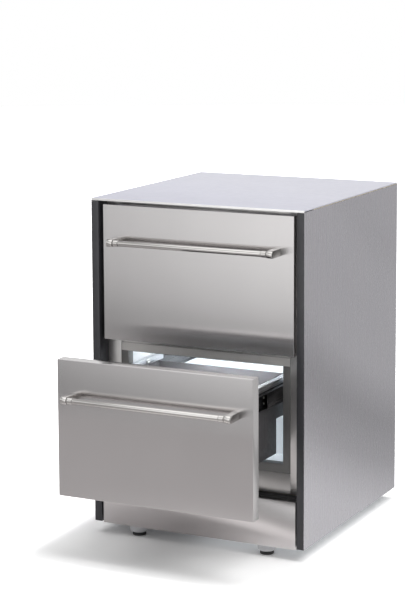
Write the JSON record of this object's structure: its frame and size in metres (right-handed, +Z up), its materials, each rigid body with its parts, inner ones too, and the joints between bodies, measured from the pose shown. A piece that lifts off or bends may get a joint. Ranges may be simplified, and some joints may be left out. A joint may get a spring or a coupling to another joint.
{
  "type": "undercounter drawer refrigerator",
  "caption": "Undercounter refrigerator with stacked steel-fronted drawers on telescopic slides, bar handles, a toe-kick plate and levelling legs, the lower drawer pulled out.",
  "frame": {"origin": "on the floor, on the cabinet's centre line, in the plane of its front trim", "axes": "+X to the right as seen from the front, +Y into the cabinet, +Z up"},
  "size_m": [0.606, 0.9272, 0.897],
  "materials": {
    "brushed_steel_front": "vertical brushed",
    "brushed_steel_side": "vertical brushed, satin",
    "steel_top": "satin light grey",
    "handle_steel": "satin, turned",
    "black_trim": "matte black",
    "frame_steel": "satin",
    "galvanised": "galvanised, dull",
    "border_grey": "moulded",
    "liner_white": "smooth white",
    "insulation_foam": "rigid foam",
    "seal_rubber": "soft grey",
    "bin_grey": "satin dark grey",
    "rail_aluminium": "lengthwise brushed",
    "slide_steel": "zinc plated",
    "leg_grey": "moulded light grey with a black pad",
    "compressor_black": "semi-gloss black",
    "grommet_rubber": "matte",
    "black_plastic": "moulded",
    "coil_black": "satin black",
    "copper_line": "drawn copper",
    "bare_aluminium": "bright",
    "control_grey": "moulded",
    "light_lens": "translucent white"
  },
  "bodies": {
    "cabinet": {"side_panel_left": "brushed_steel_side", "side_panel_right": "brushed_steel_side", "front_trim_left": "black_trim", "front_trim_right": "black_trim", "top_panel": "steel_top", "back_panel": "galvanised", "base_pan": "galvanised", "kick_plate": "brushed_steel_front", "frame_stile_left": "frame_steel", "frame_stile_right": "frame_steel", "frame_rail_top": "frame_steel", "frame_rail_middle": "frame_steel", "frame_rail_bottom": "frame_steel", "upper_opening_frame": "border_grey", "lower_opening_frame": "border_grey", "upper_liner": "liner_white", "lower_liner": "liner_white", "cabinet_insulation": "insulation_foam", "compressor": "compressor_black", "compressor_grommets": "grommet_rubber", "compressor_terminal_cover": "black_plastic", "condenser_coil": "coil_black", "condenser_fan_frame": "black_plastic", "drip_tray": "black_plastic", "refrigerant_lines": "copper_line", "evaporator_coil": "bare_aluminium", "evaporator_cover": "liner_white", "evaporator_fan_frame": "black_plastic", "control_box": "control_grey", "upper_light": "light_lens", "lower_light": "light_lens", "power_inlet": "black_plastic", "upper_slide_cabinet_members": "slide_steel", "lower_slide_cabinet_members": "slide_steel"},
    "upper_drawer": {"upper_drawer_front": "brushed_steel_front", "upper_drawer_foam": "insulation_foam", "upper_inner_panel": "border_grey", "upper_gasket": "seal_rubber", "upper_handle_bar": "handle_steel", "upper_handle_posts": "handle_steel", "upper_bin": "bin_grey", "upper_bin_rails": "rail_aluminium", "upper_slide_drawer_members": "slide_steel"},
    "upper_slide_middle": {"upper_slide_middle_members": "slide_steel"},
    "lower_drawer": {"lower_drawer_front": "brushed_steel_front", "lower_drawer_foam": "insulation_foam", "lower_inner_panel": "border_grey", "lower_gasket": "seal_rubber", "lower_handle_bar": "handle_steel", "lower_handle_posts": "handle_steel", "lower_bin": "bin_grey", "lower_bin_rails": "rail_aluminium", "lower_slide_drawer_members": "slide_steel"},
    "lower_slide_middle": {"lower_slide_middle_members": "slide_steel"},
    "condenser_fan_rotor": {"condenser_fan_blade": "bare_aluminium"},
    "evaporator_fan_rotor": {"evaporator_fan_blade": "control_grey"},
    "leg_front_left": {"levelling_leg_front_left": "leg_grey"},
    "leg_front_right": {"levelling_leg_front_right": "leg_grey"},
    "leg_back_left": {"levelling_leg_back_left": "leg_grey"},
    "leg_back_right": {"levelling_leg_back_right": "leg_grey"}
  },
  "joints": [
    {"name": "upper_drawer_slide", "type": "slide", "parent": "cabinet", "child": "upper_drawer", "axis": [0, -1, 0], "range_m": [0, 0.372]},
    {"name": "upper_middle_slide", "type": "slide", "parent": "cabinet", "child": "upper_slide_middle", "axis": [0, -1, 0], "range_m": [0, 0.186]},
    {"name": "lower_drawer_slide", "type": "slide", "parent": "cabinet", "child": "lower_drawer", "axis": [0, -1, 0], "range_m": [-0.242, 0.13]},
    {"name": "lower_middle_slide", "type": "slide", "parent": "cabinet", "child": "lower_slide_middle", "axis": [0, -1, 0], "range_m": [-0.121, 0.065]},
    {"name": "condenser_fan_spin", "type": "hinge", "parent": "cabinet", "child": "condenser_fan_rotor", "pos_m": [-0.144, 0.412, 0.1375], "axis": [0, 1, 0], "continuous": true},
    {"name": "evaporator_fan_spin", "type": "hinge", "parent": "cabinet", "child": "evaporator_fan_rotor", "pos_m": [0, 0.488, 0.7748], "axis": [0, 1, 0], "continuous": true},
    {"name": "leg_front_left_turn", "type": "hinge", "parent": "cabinet", "child": "leg_front_left", "pos_m": [-0.186, 0.031, 0.02], "axis": [0, 0, 1], "continuous": true},
    {"name": "leg_front_right_turn", "type": "hinge", "parent": "cabinet", "child": "leg_front_right", "pos_m": [0.186, 0.031, 0.02], "axis": [0, 0, 1], "continuous": true},
    {"name": "leg_back_left_turn", "type": "hinge", "parent": "cabinet", "child": "leg_back_left", "pos_m": [-0.186, 0.612, 0.02], "axis": [0, 0, 1], "continuous": true},
    {"name": "leg_back_right_turn", "type": "hinge", "parent": "cabinet", "child": "leg_back_right", "pos_m": [0.186, 0.612, 0.02], "axis": [0, 0, 1], "continuous": true}
  ],
  "couplings": [
    {"joint": "upper_middle_slide", "follows": "upper_drawer_slide", "ratio": 0.5},
    {"joint": "lower_middle_slide", "follows": "lower_drawer_slide", "ratio": 0.5}
  ]
}
